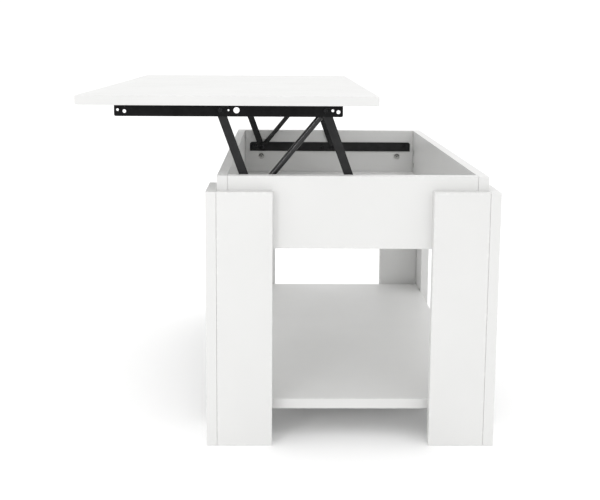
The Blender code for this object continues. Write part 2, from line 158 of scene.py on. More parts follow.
def circle(steps):
    """Angles of points spaced evenly round a circle."""
    return np.linspace(0, 2 * pi, steps, endpoint=False)


def unit(angle):
    """Unit vectors in a plane at the angles given."""
    return np.stack([np.cos(angle), np.sin(angle)], 1)


def grid_normals(points, side=1):
    """Cross products of the steps down a grid's closed rows and round them, on one side of it."""
    down = np.gradient(points, axis=0)
    onward = np.roll(points, -1, axis=1) - np.roll(points, 1, axis=1)
    looks = side * np.cross(down, onward)
    return looks / np.maximum(np.linalg.norm(looks, axis=-1, keepdims=True), 1e-12)


class Skin:
    """A surface gathered from grids and caps. Each point has a normal, a share of rubbing and painted
    highlight, and a joint share, which on the cams is painted shade.
    """

    def __init__(self):
        self.points, self.normals, self.marks, self.faces, self.maps = [], [], [], [], []
        self.count = 0

    def add(self, points, normals, wear=0.0, joint=0.0, uv=None):
        """Takes points in an array of any shape, and returns their numbers in that shape."""
        shape = points.shape[:-1]
        size = int(np.prod(shape))
        self.points.append(points.reshape(size, 3))
        self.normals.append(np.broadcast_to(normals, points.shape).reshape(size, 3))
        marks = [np.broadcast_to(mark, shape).reshape(size) for mark in (wear, joint)]
        self.marks.append(np.stack(marks, 1))
        self.maps.append(np.zeros((size, 2)) if uv is None else np.asarray(uv, float).reshape(size, 2))
        numbers = np.arange(self.count, self.count + size).reshape(shape)
        self.count += size
        return numbers

    def grid(self, numbers):
        """Joins rows of numbered points into quads, each row closed on itself."""
        after = np.roll(numbers, -1, axis=1)
        quads = np.stack([numbers[:-1], numbers[1:], after[1:], after[:-1]], -1)
        self.faces += quads.reshape(-1, 4).tolist()

    def strip(self, numbers):
        """Joins rows of numbered points into quads, each row open."""
        quads = [numbers[:-1, :-1], numbers[1:, :-1], numbers[1:, 1:], numbers[:-1, 1:]]
        self.faces += np.stack(quads, -1).reshape(-1, 4).tolist()

    def pole(self, row, point, normal, first, wear=0.0):
        """Closes a row with a fan to one point, before the first row or after the last."""
        middle = self.add(np.array([point], float), np.array([normal], float), wear)[0]
        after = np.roll(row, -1)
        fan = [np.full_like(row, middle), row, after] if first else [row, np.full_like(row, middle), after]
        self.faces += np.stack(fan, 1).tolist()

    def fill(self, loops, up):
        """Fills between closed rows of points in one face. up is 1 when the face looks along w."""
        points = np.concatenate(self.points)
        numbers = np.concatenate(loops)
        lines = [[Vector((x, y, 0)) for x, y in points[loop, :2]] for loop in loops]
        corners = np.array(tessellate_polygon(lines))
        a, b, c = (points[numbers[corners[:, k]], :2] for k in range(3))
        area = (b[:, 0] - a[:, 0]) * (c[:, 1] - a[:, 1]) - (b[:, 1] - a[:, 1]) * (c[:, 0] - a[:, 0])
        corners[area * up < 0] = corners[area * up < 0][:, ::-1]
        self.faces += numbers[corners].tolist()

    def placed(self, axes, origin):
        """The same surface with its u, v and w turned to the given axes and moved to the origin given."""
        self.points = [np.concatenate(self.points) @ axes + np.array(origin, float)]
        self.normals = [np.concatenate(self.normals) @ axes]
        return self

    def bent(self, way):
        """The same surface with its points and normals passed through a function."""
        points, normals = way(np.concatenate(self.points), np.concatenate(self.normals))
        self.points, self.normals = [points], [normals]
        return self

    def mesh(self, name):
        made = bpy.data.meshes.new(name)
        made.from_pydata(np.concatenate(self.points).tolist(), [], self.faces)
        made.shade_smooth()
        marks = np.concatenate(self.marks)
        for column, label in enumerate(("wear", "joint")):
            layer = made.attributes.new(label, "FLOAT", "POINT")
            layer.data.foreach_set("value", marks[:, column].astype(np.float32))
        corners = np.empty(len(made.loops), np.int32)
        made.loops.foreach_get("vertex_index", corners)
        layer = made.uv_layers.new(name="Along")
        layer.data.foreach_set("uv", np.concatenate(self.maps)[corners].astype(np.float32).ravel())
        made.normals_split_custom_set_from_vertices(np.concatenate(self.normals).tolist())
        return made


def rectangle(low, high, radii, stations=(), steps=4):
    """An outline as a function of its inset: four quarter circles joined by straight sides, with more points
    at given heights on the upright sides. The corners run anticlockwise from high u, high v."""
    low, high = np.array(low, float), np.array(high, float)
    corners = [((high[0], high[1]), (1, 1)), ((low[0], high[1]), (-1, 1))]
    corners += [((low[0], low[1]), (-1, -1)), ((high[0], low[1]), (1, -1))]
    heights = np.array(stations, float)

    def outline(inset):
        points, normals = [], []
        for k, ((corner, sign), radius) in enumerate(zip(corners, radii)):
            angle = np.linspace(k, k + 1, steps + 1) * pi / 2
            way = unit(angle)
            left = max(radius - inset, TIGHT)
            points.append(np.array(corner) - np.array(sign) * (left + inset) + left * way)
            normals.append(way)
            if len(heights) and k in (1, 3):
                side = low[0] + inset if k == 1 else high[0] - inset
                level = heights[::-1] if k == 1 else heights
                points.append(np.stack([np.full_like(level, side), level], 1))
                normals.append(np.tile([-1.0 if k == 1 else 1.0, 0.0], (len(level), 1)))
        return np.concatenate(points), np.concatenate(normals)

    return outline


def bar(first, second, radius, steps=20):
    """A bar's outline with round ends about two points, the second above the first."""
    half = np.linspace(0, pi, steps + 1)
    way = unit(half)

    def outline(inset):
        ends = [np.array(second) + (radius - inset) * way, np.array(first) - (radius - inset) * way]
        return np.concatenate(ends), np.concatenate([way, -way])

    return outline


def hole(centre, radius, steps=36):
    """A round hole's outline, taken clockwise, so that its inset grows into the material."""
    angle = -circle(steps)
    way = unit(angle)
    return lambda inset: (np.array(centre) + (radius + inset) * way, -way)


def eased_edge(half, ease, fade, band=None, steps=4):
    """Stations from one face over the edge to the other: inset, height, the normal's outward and upward
    share, rubbing with a painted highlight on the boards, and joint. A quarter circle eases each corner. A
    shallow V marks where the band begins."""
    turn = np.linspace(pi / 2, 0, steps + 1)
    rows = [(fade, half, 0, 1, 0, 0)]
    if band:
        width, line = band
        wear = 1 - width / fade
        rows += [
            (width + line, half, 0, 1, wear, 0),
            (width + line * 0.75, half - line * 0.3, 0.6, 0.8, wear, 0.7),
            (width + line * 0.5, half - line * 0.5, 0, 1, wear, 1),
            (width + line * 0.25, half - line * 0.3, -0.6, 0.8, wear, 0.7),
            (width, half, 0, 1, wear, 0),
        ]
    inset, height = ease * (1 - np.cos(turn)), half - ease * (1 - np.sin(turn))
    rows += list(zip(inset, height, np.cos(turn), np.sin(turn), np.ones_like(turn), np.zeros_like(turn)))
    rows.append((0, half - min(ease * 2.2, half * 0.8), 1, 0, 0, 0))
    upper = np.array(rows, float)
    lower = upper[::-1] * (1, -1, 1, -1, 1, 1)
    return np.concatenate([upper, lower])


def edge_rows(skin, outline, stations):
    """Carries an edge's stations round an outline, and returns numbered points, a row for each station."""
    points, normals = [], []
    for inset, height, outward, upward, _, _ in stations:
        flat, way = outline(inset)
        points.append(np.column_stack([flat, np.full(len(flat), height)]))
        normals.append(np.column_stack([way * outward, np.full(len(flat), upward)]))
    wear, joint = (np.repeat(stations[:, k : k + 1], len(points[0]), axis=1) for k in (4, 5))
    normals = np.array(normals)
    normals /= np.linalg.norm(normals, axis=-1, keepdims=True)
    return skin.add(np.array(points), normals, wear, joint)


def slab(outer, thickness, ease, fade, holes=(), sockets=(), band=None, folds=()):
    """A flat piece about the plane w = 0. Its edge is a profile carried round the outline, each through hole
    the same profile turned inwards, each socket a blind hole from the upper face, and the faces are filled
    between them. folds are heights where the faces are split, so that the piece can be bent there."""
    skin = Skin()
    half = thickness / 2
    edge = edge_rows(skin, outer, eased_edge(half, ease, fade, band))
    skin.grid(edge)
    above, below = [edge[0]], [edge[-1]]
    for outline in holes:
        rows = edge_rows(skin, outline, eased_edge(half, ease, ease * 3))
        skin.grid(rows)
        above.append(rows[0])
        below.append(rows[-1])
    for outline, depth in sockets:
        stations = eased_edge(half, ease / 3, ease, steps=2)
        stations = stations[: len(stations) // 2]
        floor = np.array([(0, half - depth, 1, 0, 0, 0), (0, half - depth, 0, 1, 0, 0)], float)
        rows = edge_rows(skin, outline, np.concatenate([stations, floor]))
        skin.grid(rows)
        middle = np.append(outline(0)[0].mean(0), half - depth)
        skin.pole(rows[-1], middle, (0, 0, 1), first=False)
        above.append(rows[0])
    if not folds:
        skin.fill(above, 1)
        skin.fill(below, -1)
        return skin
    heights = np.concatenate(skin.points)[:, 1]
    limits = [-np.inf, *folds, np.inf]
    for loops, up in ((above, 1), (below, -1)):
        for low, high in zip(limits, limits[1:]):
            ring = loops[0][(heights[loops[0]] >= low - 1e-9) & (heights[loops[0]] <= high + 1e-9)]
            inside = [loop for loop in loops[1:] if low < heights[loop].mean() < high]
            skin.fill([ring, *inside], up)
    return skin


def rounded(corners, radii, steps=5):
    """A turned piece's profile: straight runs between (radius, height) corners, each corner an arc. Returns
    its points and normals, which look to the right of the way it runs."""
    corners = np.array(corners, float)
    runs = np.diff(corners, axis=0)
    runs /= np.linalg.norm(runs, axis=1, keepdims=True)
    sides = np.stack([runs[:, 1], -runs[:, 0]], 1)
    points, normals = [corners[0]], [sides[0]]
    for k, radius in enumerate(radii, 1):
        before, after = runs[k - 1], runs[k]
        turning = before[0] * after[1] - before[1] * after[0]
        start, sweep = atan2(*sides[k - 1][::-1]), atan2(turning, before @ after)
        angle = start + np.linspace(0, sweep, steps + 1)
        way = unit(angle)
        sign = 1 if turning > 0 else -1
        centre = corners[k] - before * radius * abs(np.tan(sweep / 2)) - sides[k - 1] * radius * sign
        points.extend(centre + way * radius * sign)
        normals.extend(way)
    return np.array([*points, corners[-1]]), np.array([*normals, sides[-1]])


def turned(profile, normals, wear=0.0, steps=32):
    """A surface of revolution about w from a profile that starts and ends on the axis."""
    skin = Skin()
    angle = circle(steps)
    ring = unit(angle)
    inner, ways = profile[1:-1], normals[1:-1]
    points = np.concatenate([inner[:, :1, None] * ring, np.repeat(inner[:, 1:, None], steps, 1)], -1)
    looks = np.concatenate([ways[:, :1, None] * ring, np.repeat(ways[:, 1:, None], steps, 1)], -1)
    marks = np.broadcast_to(wear, len(profile))[1:-1]
    rows = skin.add(points, looks, np.repeat(marks[:, None], steps, 1))
    skin.grid(rows[::-1])
    skin.pole(rows[0], (0, 0, profile[0, 1]), (0, 0, np.sign(normals[0, 1])), first=False)
    skin.pole(rows[-1], (0, 0, profile[-1, 1]), (0, 0, np.sign(normals[-1, 1])), first=True)
    return skin


def polar(radius, height, wear=0.0, joint=0.0):
    """A surface round w from two arrays with a row for each ring, from the crown's middle to the foot's."""
    skin = Skin()
    angle = circle(radius.shape[1])
    points = np.stack([radius * np.cos(angle), radius * np.sin(angle), height], -1)
    looks = grid_normals(points)
    numbers = skin.add(points, looks, wear, joint)
    skin.grid(numbers)
    skin.pole(numbers[0], (0, 0, height[0].mean()), (0, 0, 1), first=True)
    skin.pole(numbers[-1], (0, 0, height[-1].mean()), (0, 0, -1), first=False)
    return skin


def soft_step(value, low, high):
    """0 below low, 1 above high, and a smooth S between."""
    share = np.clip((value - low) / (high - low), 0, 1)
    return share * share * (3 - 2 * share)


# ---------------------------------------------------------------- finishes


class Finish:
    """A Principled material whose colour, roughness and bump come from patterns on object coordinates."""

    def __init__(self, name, roughness, metallic=0.0, specular=0.5):
        self.material = bpy.data.materials.new(name)
        self.material.use_nodes = True
        self.tree = self.material.node_tree
        self.shader = self.tree.nodes["Principled BSDF"]
        self.feed(self.shader, {"Roughness": roughness, "Metallic": metallic, "Specular IOR Level": specular})
        self.place = self.node("ShaderNodeTexCoord").outputs["Object"]

    def feed(self, node, inputs):
        """Links or sets a node's inputs, by name or number."""
        for name, value in inputs.items():
            if hasattr(value, "links"):
                self.tree.links.new(value, node.inputs[name])
            else:
                node.inputs[name].default_value = value

    def node(self, kind, inputs=None, **settings):
        made = self.tree.nodes.new(kind)
        for name, value in settings.items():
            setattr(made, name, value)
        self.feed(made, inputs or {})
        return made

    def noise(self, scale, detail=2.0, along=None):
        """Noise of so many features a metre, or drawn out along a tube or wire by a stretch of each axis."""
        place = self.place
        if along:
            run = self.node("ShaderNodeUVMap", uv_map="Along").outputs["UV"]
            place = self.node("ShaderNodeMapping", {"Vector": run, "Scale": along}).outputs["Vector"]
        inputs = {"Vector": place, "Scale": scale, "Detail": detail}
        return self.node("ShaderNodeTexNoise", inputs).outputs["Fac"]

    def between(self, value, low, high, to_low=0.0, to_high=1.0):
        inputs = {"Value": value, "From Min": low, "From Max": high, "To Min": to_low, "To Max": to_high}
        return self.node("ShaderNodeMapRange", inputs).outputs["Result"]

    def pattern(self, scale, detail, low, high, *ends):
        """Noise drawn apart between two values, onto 0 and 1 or the ends given."""
        return self.between(self.noise(scale, detail), low, high, *ends)

    def maths(self, operation, first, second):
        return self.node("ShaderNodeMath", {0: first, 1: second}, operation=operation).outputs["Value"]

    def times(self, first, second):
        return self.maths("MULTIPLY", first, second)

    def mark(self, name):
        return self.node("ShaderNodeAttribute", attribute_name=name).outputs["Fac"]

    def mix(self, share, first, second):
        """A colour between two, each a colour or a socket."""
        ends = [value if hasattr(value, "links") else (*value, 1.0) for value in (first, second)]
        inputs = {"Factor": share, 6: ends[0], 7: ends[1]}
        return self.node("ShaderNodeMix", inputs, data_type="RGBA").outputs[2]

    def colour(self, socket):
        self.feed(self.shader, {"Base Color": socket})

    def roughness(self, socket):
        self.feed(self.shader, {"Roughness": socket})

    def bump(self, *layers):
        """Layers of (height, depth in metres), one on another."""
        below = {}
        for height, depth in layers:
            inputs = {"Height": height, "Distance": depth, "Strength": 1.0, **below}
            below = {"Normal": self.node("ShaderNodeBump", inputs).outputs["Normal"]}
        self.feed(self.shader, below)


def shade(colour, share):
    return tuple(channel * share for channel in colour)


def melamine(finishes):
    """White facing with a fine pearl texture, a faint cloud, a grey band line and paler edges, partly rubbing
    and partly a painted highlight.
    """
    made = Finish("white_melamine", finishes.board_roughness, specular=0.4)
    white = tuple(finishes.board_colour)
    cloud = made.pattern(5.0, 3.0, 0.35, 0.65)
    tone = made.mix(cloud, white, shade(white, 0.975))
    speck = made.pattern(2600.0, 1.0, 0.60, 0.75)
    tone = made.mix(made.times(speck, 0.25), tone, shade(white, 0.9))
    # Paler patches on the eased edges: partly rubs of the edge band, partly a painted highlight along the
    # edges.
    paler_patches = made.times(made.mark("wear"), made.pattern(140.0, 4.0, 0.48, 0.72))
    tone = made.mix(made.times(paler_patches, 0.35), tone, (0.86, 0.86, 0.84))
    tone = made.mix(made.times(made.mark("joint"), 0.55), tone, (0.42, 0.42, 0.41))
    made.colour(tone)
    smudge = made.pattern(14.0, 5.0, 0.3, 0.7, -0.05, 0.05)
    rough = made.maths("ADD", smudge, finishes.board_roughness)
    made.roughness(made.maths("ADD", made.times(paler_patches, 0.12), rough))
    made.bump((made.noise(1500.0, 2.0), 0.00003), (made.noise(160.0, 2.0), 0.00002))
    return made.material


def powder_coat(name, colour, specular, roughness=0.5):
    """Black powder coat: an orange peel skin, cloudy gloss and edges worn a little greyer."""
    made = Finish(name, roughness, specular=specular)
    black = tuple(colour)
    tone = made.mix(made.pattern(60.0, 4.0, 0.35, 0.65), black, shade(black, 1.5))
    nick = made.pattern(420.0, 3.0, 0.52, 0.66)
    paler_patches = made.times(made.mark("wear"), nick)
    made.colour(made.mix(made.times(paler_patches, 0.6), tone, (0.05, 0.05, 0.052)))
    made.roughness(made.pattern(35.0, 4.0, 0.3, 0.7, roughness - 0.08, roughness + 0.08))
    made.bump((made.noise(900.0, 2.0), 0.00006), (made.noise(2600.0, 1.0), 0.00002))
    return made.material


def blackened_steel(finishes):
    """Oxidised steel with bright rubs on its edges and fine turning marks; on the screws' heads the bright
    marks are partly a painted glint.
    """
    made = Finish("blackened_steel", 0.36, metallic=0.9)
    dark = tuple(finishes.steel_colour)
    tone = made.mix(made.pattern(300.0, 4.0, 0.4, 0.6), dark, shade(dark, 1.5))
    # Paler patches: rubs, and round the screws' recesses partly a painted glint.
    paler_patches = made.times(made.mark("wear"), made.pattern(700.0, 3.0, 0.42, 0.6))
    made.colour(made.mix(made.times(paler_patches, 0.7), tone, (0.15, 0.15, 0.155)))
    made.roughness(made.pattern(500.0, 3.0, 0.3, 0.7, 0.26, 0.46))
    made.bump((made.noise(1800.0, 2.0), 0.00002))
    return made.material


def spring_wire(finishes):
    """Drawn, oiled spring wire with streaks along it."""
    made = Finish("spring_wire", 0.3, metallic=0.95)
    dark = shade(finishes.steel_colour, 2.0)
    streak = made.noise(60.0, along=(6.0, 0.5, 1.0))
    made.colour(made.mix(made.between(streak, 0.35, 0.65), dark, shade(dark, 1.8)))
    made.roughness(made.between(streak, 0.3, 0.7, 0.22, 0.42))
    made.bump((streak, 0.00001))
    return made.material


def extruded_plastic(finishes):
    """Glossy black tube with fine extrusion lines along it and a few dull scuffs."""
    made = Finish("black_plastic_tube", 0.2, specular=0.45)
    black = tuple(finishes.sleeve_colour)
    lines = made.noise(40.0, along=(4.0, 0.06, 1.0))
    made.colour(made.mix(made.pattern(90.0, 4.0, 0.4, 0.7), black, shade(black, 1.6)))
    scuff = made.pattern(55.0, 5.0, 0.55, 0.75, 0.0, 0.08)
    made.roughness(made.maths("ADD", made.between(lines, 0.3, 0.7, 0.14, 0.19), scuff))
    made.bump((lines, 0.000012))
    return made.material


def zinc(finishes):
    """Die-cast zinc, tumbled and slightly oxidised, darkened as painted shade in its slot, cross recess and
    dent.
    """
    made = Finish("cam_zinc", 0.42, metallic=0.6)
    pale = tuple(finishes.zinc_colour)
    tone = made.mix(made.pattern(420.0, 5.0, 0.35, 0.65), pale, shade(pale, 0.62))
    paler_patches = made.times(made.mark("wear"), made.pattern(900.0, 2.0, 0.4, 0.6))
    tone = made.mix(paler_patches, tone, shade(pale, 1.3))
    # The joint mark darkens the slot, the cross recess and the dent towards 0.06: painted shade.
    made.colour(made.mix(made.times(made.mark("joint"), 0.85), tone, (0.06, 0.06, 0.058)))
    made.roughness(made.pattern(650.0, 4.0, 0.3, 0.7, 0.32, 0.55))
    made.bump((made.noise(1300.0, 3.0), 0.00004))
    return made.material


def pale_floor(colour):
    """Smooth painted floor with the least unevenness."""
    made = Finish("pale_floor", 0.7, specular=0.1)
    tone = tuple(colour)
    made.colour(made.mix(made.pattern(2.0, 2.0, 0.3, 0.7), tone, shade(tone, 0.995)))
    return made.material


FINISHES = {
    "boards": melamine,
    # rails: the coat darkened as painted shade; arms, also the base rails and sleeve tongues: the coat
    # lightened as painted light.
    "rails": lambda finishes: powder_coat("rail_powder_coat", finishes.shaded_coat_colour, 0.1),
    "arms": lambda finishes: powder_coat("arm_powder_coat", finishes.lit_coat_colour, 0.22, 0.42),
    "rivets": blackened_steel,
    "wire": spring_wire,
    "sleeves": extruded_plastic,
    "cams": zinc,
}


def finish(context, name):
    """The material of that finish, made the first time it is asked for."""
    key = f"table_{name}"
    if key not in bpy.data.materials:
        made = FINISHES[name](context.scene.table_finishes)
        made.name = key
    return bpy.data.materials[key]


# ---------------------------------------------------------------- placing


def centre(node):
    low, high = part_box(node)
    return (low + high) / 2


def linked(context, name, data):
    """A new object of that name in the scene."""
    obj = bpy.data.objects.new(name, data)
    context.scene.collection.objects.link(obj)
    return obj


def add_piece(context, nodes, skin, look, name=None):
    """A finished surface as a piece that stands for CAD nodes and rides on their body."""
    name = name or f"{nodes[0]}_finished"
    obj = linked(context, name, skin.mesh(name))
    obj.data.materials.append(finish(context, look))
    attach(obj, frame["nodes"][nodes[0]]["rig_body"])
    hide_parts(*nodes)


def add_board(context, node, sockets=()):
    """A banded board in the place of a CAD board. Sockets are (node of what sits in it, radius, depth)."""
    sizes = context.scene.table_sizes
    low, high = (np.array(corner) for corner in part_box(node))
    axes = FACING[int(np.argmin(high - low))]
    middle, span = (low + high) / 2, axes @ (high - low)
    ways = [axes @ (np.array(centre(inside)) - middle) for inside, _, _ in sockets]
    flip = -1 if ways and ways[-1][2] <= 0 else 1
    if flip < 0:  # the sockets open on the other face, so the piece is turned over about v
        axes = np.array([-axes[0], axes[1], -axes[2]])
    places = []
    for way, (_, radius, depth) in zip(ways, sockets):
        places.append((hole((flip * way[0], way[1]), radius), depth))
    outer = rectangle(-span[:2] / 2, span[:2] / 2, [sizes.board_ease] * 4)
    band = (sizes.band_width, sizes.band_line)
    skin = slab(outer, span[2], sizes.board_ease, BOARD_FADE, sockets=places, band=band)
    add_piece(context, [node], skin.placed(axes, middle), "boards")


def upright_axes(lean=0.0):
    """Axes of a plate across the table that leans right: u to the right, v up, w to the near end."""
    return np.array([[cos(lean), 0, -sin(lean)], [sin(lean), 0, cos(lean)], [0, -1, 0]])


def inward_axes(end):
    """Axes of a turned piece whose w looks from an end wall into the box."""
    return np.array([[1, 0, 0], [0, 0, end], [0, -end, 0]], float)


def cam_socket(node):
    """(node, radius, depth) of the bore that a cam sits in."""
    low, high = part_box(node)
    size = sorted(high - low)
    return node, size[2] / 2 + GAP, size[0] + GAP


def cross_recess(radius, angle, reach, width, depth):
    """The depth of a cross recess at polar places: two crossed bars that taper towards their ends."""
    across, along = radius * np.cos(angle), radius * np.sin(angle)
    arms = []
    for run, side in ((across, along), (along, across)):
        taper = width * (1 - 0.35 * np.abs(run) / reach)
        arm = 1 - soft_step(np.abs(side), taper * 0.7, taper)
        arms.append(arm * (1 - soft_step(np.abs(run), reach * 0.86, reach)))
    return depth * np.maximum(*arms) * (1 - 0.3 * radius / reach)


# ---------------------------------------------------------------- operators


class TABLE_OT_legs(bpy.types.Operator):
    """Make the eight boards of the four legs"""

    bl_idname = "lift_table.legs"
    bl_label = "Legs"

    def execute(self, context):
        for end, _ in ENDS:
            for side, _ in SIDES:
                add_board(context, f"leg_side_board_{end}_{side}")
                add_board(context, f"leg_end_board_{end}_{side}")
        return {"FINISHED"}


class TABLE_OT_storage_box(bpy.types.Operator):
    """Make the storage box's panels, with the cams' sockets, and its floor"""

    bl_idname = "lift_table.storage_box"
    bl_label = "Storage Box"

    def execute(self, context):
        for side, _ in SIDES:
            cams = [f"cam_lock_{side}_{end}_{level}" for end, _ in ENDS for level in ("upper", "lower")]
            add_board(context, f"box_side_panel_{side}", [cam_socket(cam) for cam in cams])
        for end, _ in ENDS:
            cams = [cam_socket(f"cam_lock_{end}_{side}") for side, _ in SIDES]
            screws = [(f"rail_screw_{end}_{spot}", SCREW_HOLE, SCREW_DEPTH) for spot in SPOTS]
            add_board(context, f"box_end_panel_{end}", cams + screws)
        add_board(context, "box_floor")
        return {"FINISHED"}


class TABLE_OT_shelf(bpy.types.Operator):
    """Make the lower shelf"""

    bl_idname = "lift_table.shelf"
    bl_label = "Shelf"

    def execute(self, context):
        add_board(context, "shelf")
        return {"FINISHED"}


class TABLE_OT_top(bpy.types.Operator):
    """Make the lifting top, drilled for its rails' screws"""

    bl_idname = "lift_table.top"
    bl_label = "Lifting Top"

    def execute(self, context):
        screws = [f"top_screw_{end}_{side}" for end, _ in ENDS for side, _ in SIDES]
        add_board(context, "top_panel", [(screw, SCREW_HOLE, SCREW_DEPTH) for screw in screws])
        return {"FINISHED"}


# Runs of rings on a cam's face, as shares of its radius: first, last and how many
CAM_RINGS = ((0.04, 0.5, 20), (0.515, 0.535, 3), (0.56, 0.8, 7), (0.815, 0.835, 3), (0.86, 0.94, 4))


def make_cam(context, node):
    """Height over a polar grid: flat, less a half-moon slot, a cross recess and a pointed dent, with an edge
    eased by a quarter circle and the barrel below it. The face looks to the table's middle."""
    low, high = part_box(node)
    size = high - low
    facing = int(np.argmin(size))
    depth, reach = size[facing], max(size) / 2
    rings = np.concatenate([np.linspace(*run) for run in CAM_RINGS])
    radius, around = np.meshgrid(rings * reach, circle(96), indexing="ij")
    from_top, from_bottom = (np.abs((around - way + pi) % (2 * pi) - pi) for way in (pi / 2, 1.5 * pi))
    slot = 1 - soft_step(radius, 0.81 * reach, 0.84 * reach)
    slot = soft_step(radius, 0.505 * reach, 0.54 * reach) * slot * (1 - soft_step(from_top, 1.45, 1.6))
    recess = cross_recess(radius, around + pi / 4, 0.44 * reach, 0.15 * reach, depth * 0.28)
    pointer = 1 - soft_step(from_bottom * radius, 0.0, 0.13 * reach)
    pointer *= soft_step(radius, 0.55 * reach, 0.6 * reach)
    pointer *= 1 - soft_step(radius, 0.8 * reach, 0.86 * reach)
    height = -depth * (0.4 * slot) - recess - pointer * 0.0003
    # Painted shade: the slot, the cross recess and the dent get a dark share through the joint mark.
    painted_recess_shade = np.clip(slot * 0.9 + recess / (depth * 0.28) + pointer * 0.3, 0, 1)
    turn = np.linspace(0, pi / 2, 5)
    ease = 0.06 * reach
    side_radius = np.concatenate([reach - ease + ease * np.sin(turn), [reach, reach - 0.0003, reach * 0.5]])
    side_height = np.concatenate([-ease + ease * np.cos(turn), [0.0003 - depth, -depth, -depth]])
    radius = np.concatenate([radius, np.repeat(side_radius[:, None], 96, 1)])
    height = np.concatenate([height, np.repeat(side_height[:, None], 96, 1)])
    wear, joint = np.zeros_like(radius), np.zeros_like(radius)
    wear[len(rings) : len(rings) + 4] = 1.0
    joint[: len(rings)] = painted_recess_shade
    origin = np.array((low + high) / 2)
    inward = -np.sign((origin - centre("box_floor"))[facing])
    face = np.zeros(3)
    face[facing] = inward
    origin[facing] = (high if inward > 0 else low)[facing]
    axes = np.array([np.cross((0, 0, 1), face), (0, 0, 1), face])
    skin = polar(radius, height, wear, joint).placed(axes, origin)
    add_piece(context, [node], skin, "cams")


class TABLE_OT_cam_locks(bpy.types.Operator):
    """Make the twelve cam locks: a disc with a half-moon slot, a cross recess and a pointer"""

    bl_idname = "lift_table.cam_locks"
    bl_label = "Cam Locks"

    def execute(self, context):
        for name in sorted(frame["nodes"]):
            if name.startswith("cam_lock_"):
                make_cam(context, name)
        return {"FINISHED"}


class TABLE_OT_base_rails(bpy.types.Operator):
    """Make the two bars that carry the base pivots on the end panels"""

    bl_idname = "lift_table.base_rails"
    bl_label = "Base Rails"

    def execute(self, context):
        ease = context.scene.table_sizes.steel_ease
        for end, _ in ENDS:
            node = f"base_rail_{end}"
            low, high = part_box(node)
            middle = centre(node)
            span = high - low
            half = (span.x / 2, span.z / 2)
            radii = (BASE_RAIL_CORNER, BASE_RAIL_CORNER, ease, ease)
            outline = rectangle((-half[0], -half[1]), half, radii, steps=8)
            fits = [(f"pivot_base_{place}_{end}", PIVOT_HOLE) for place in ("front", "rear")]
            fits += [(f"rail_screw_{end}_{spot}", SCREW_HOLE) for spot in SPOTS]
            cuts = []
            for inside, radius in (*fits, (f"stop_pin_{end}", STOP_HOLE)):
                away = centre(inside) - middle
                cuts.append(hole((away.x, away.z), radius))
            skin = slab(outline, span.y, ease, STEEL_FADE, holes=cuts).placed(upright_axes(), middle)
            add_piece(context, [node], skin, "arms")
        return {"FINISHED"}


# Spare holes in a top rail's web: where it is measured from, the way along and up from there, and the radius
SPARE_HOLES = (
    ("left end", 0.006, 0.0, 0.0023),
    ("left end", 0.0175, -0.0024, 0.0031),
    ("pivot", 0.0144, 0.0, 0.0016),
    ("pivot", 0.028, 0.0, 0.0052),
    ("right end", -0.0174, 0.0, 0.0024),
    ("right end", -0.0078, -0.0024, 0.0033),
)


class TABLE_OT_top_rails(bpy.types.Operator):
    """Make the two angle rails under the top, folded from a flat pattern with all its holes"""

    bl_idname = "lift_table.top_rails"
    bl_label = "Top Rails"

    def execute(self, context):
        sizes = context.scene.table_sizes
        pivot_x, pivot_z = JOINTS["top_level"]["pos_m"][0], JOINTS["top_level"]["pos_m"][2]
        rear_x = JOINTS["spring_swing"]["pos_m"][0]
        middle_radius = sizes.bend_radius + STEEL / 2
        for end, sign in ENDS:
            node = f"top_rail_{end}"
            low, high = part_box(node)
            left, right = low.x - pivot_x, high.x - pivot_x
            bottom, fold = low.z - pivot_z, high.z - pivot_z - STEEL / 2 - middle_radius
            flange = (high.y - low.y) - STEEL / 2 - middle_radius
            bend_end = fold + middle_radius * pi / 2
            folds = np.linspace(fold, bend_end, 9)
            ease = sizes.steel_ease
            radii = (ease, ease, FLANGE_CORNER, FLANGE_CORNER)
            outline = rectangle((left, bottom), (right, bend_end + flange), radii, folds, steps=6)
            cuts = [hole((0, 0), PIVOT_HOLE), hole((rear_x - pivot_x, 0), PIVOT_HOLE)]
            starts = {"left end": left, "pivot": 0, "right end": right}
            cuts += [hole((starts[start] + along, up), radius) for start, along, up, radius in SPARE_HOLES]
            web_y = (low.y if sign < 0 else high.y) - sign * STEEL / 2
            for side, _ in SIDES:
                screw = centre(f"top_screw_{end}_{side}")
                out = abs(screw.y - web_y) - middle_radius
                cuts.append(hole((screw.x - pivot_x, bend_end + out), SCREW_HOLE))
            skin = slab(outline, STEEL, ease, STEEL_FADE, holes=cuts, folds=tuple(folds))
            skin.bent(lambda points, normals: folded(points, normals, fold, middle_radius, sign))
            skin.placed(upright_axes(), (pivot_x, web_y, pivot_z))
            add_piece(context, [node], skin, "rails")
        return {"FINISHED"}


def folded(points, normals, fold, radius, sign):
    """Folds a flat pattern square about a line of constant v, towards w if sign is 1. Past it a point runs
    round a quarter circle of the middle radius, then straight on."""
    along = np.clip(points[:, 1] - fold, 0, None)
    angle = np.clip(along / radius, 0, pi / 2)
    rest = along - angle * radius
    s, c = np.sin(angle), np.cos(angle)
    web = np.minimum(points[:, 1], fold)
    v = web + radius * s - sign * points[:, 2] * s + rest * c
    w = sign * radius * (1 - c) + points[:, 2] * c + sign * rest * s
    x, y, z = normals.T
    return np.stack([points[:, 0], v, w], 1), np.stack([x, y * c - sign * z * s, sign * y * s + z * c], 1)


